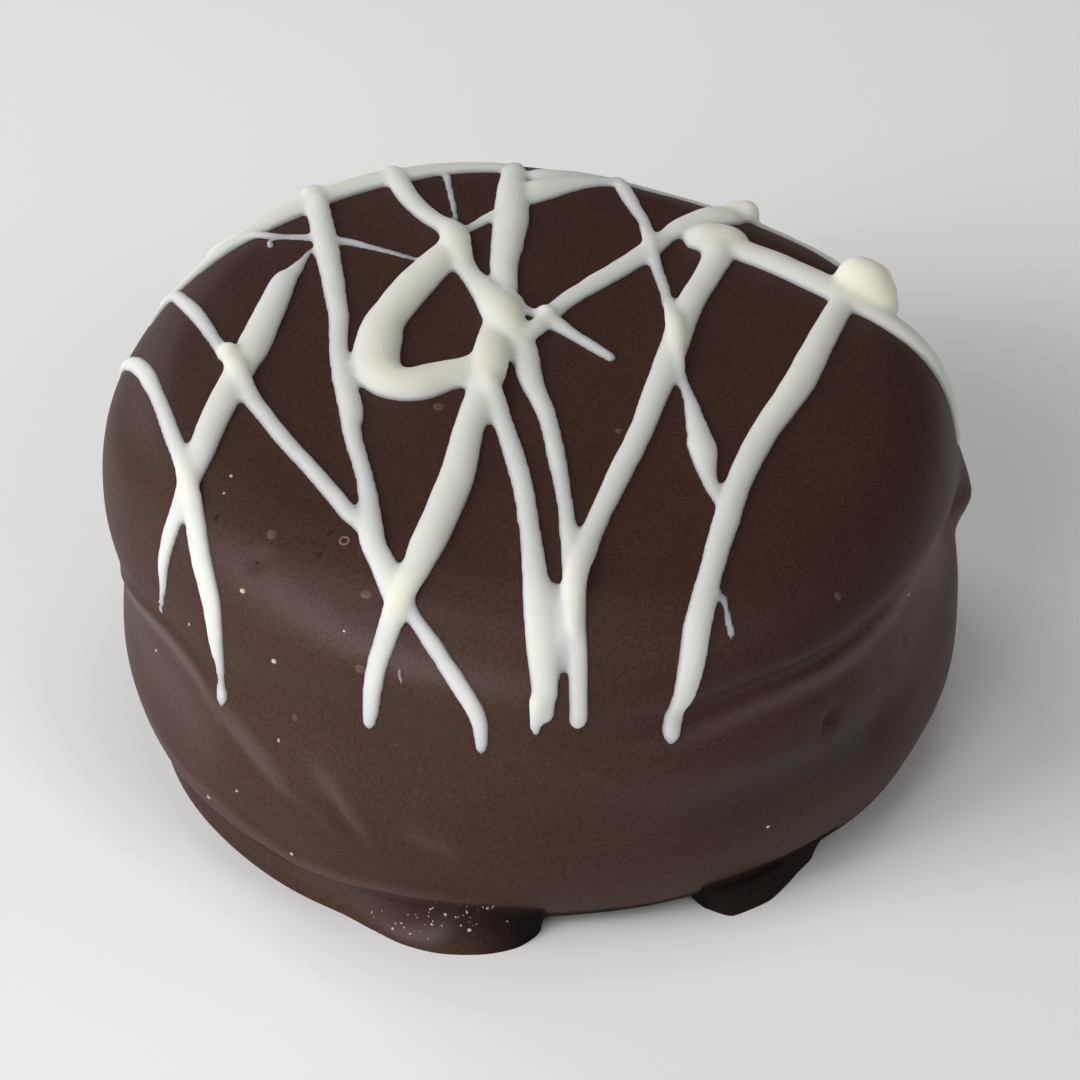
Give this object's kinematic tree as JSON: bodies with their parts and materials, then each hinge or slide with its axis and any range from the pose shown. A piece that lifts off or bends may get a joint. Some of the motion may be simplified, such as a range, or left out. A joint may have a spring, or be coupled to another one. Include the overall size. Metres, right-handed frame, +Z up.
{
  "type": "coated cornstarch alfajor",
  "caption": "Round sandwich biscuit closed in a dark chocolate coat, with a shallow waist around its side and strands of white chocolate drizzled over its top and front.",
  "frame": {"origin": "middle of the flat underside, on the surface that the alfajor stands on", "axes": "+Z up, -Y towards the side seen from the front, +X to the right of that side"},
  "size_m": [0.0605, 0.0614, 0.0307],
  "materials": {
    "dark_chocolate": "satin",
    "white_chocolate": "satin"
  },
  "bodies": {
    "root": {"coated_alfajor": "dark_chocolate", "white_drizzle": "white_chocolate"}
  },
  "joints": []
}
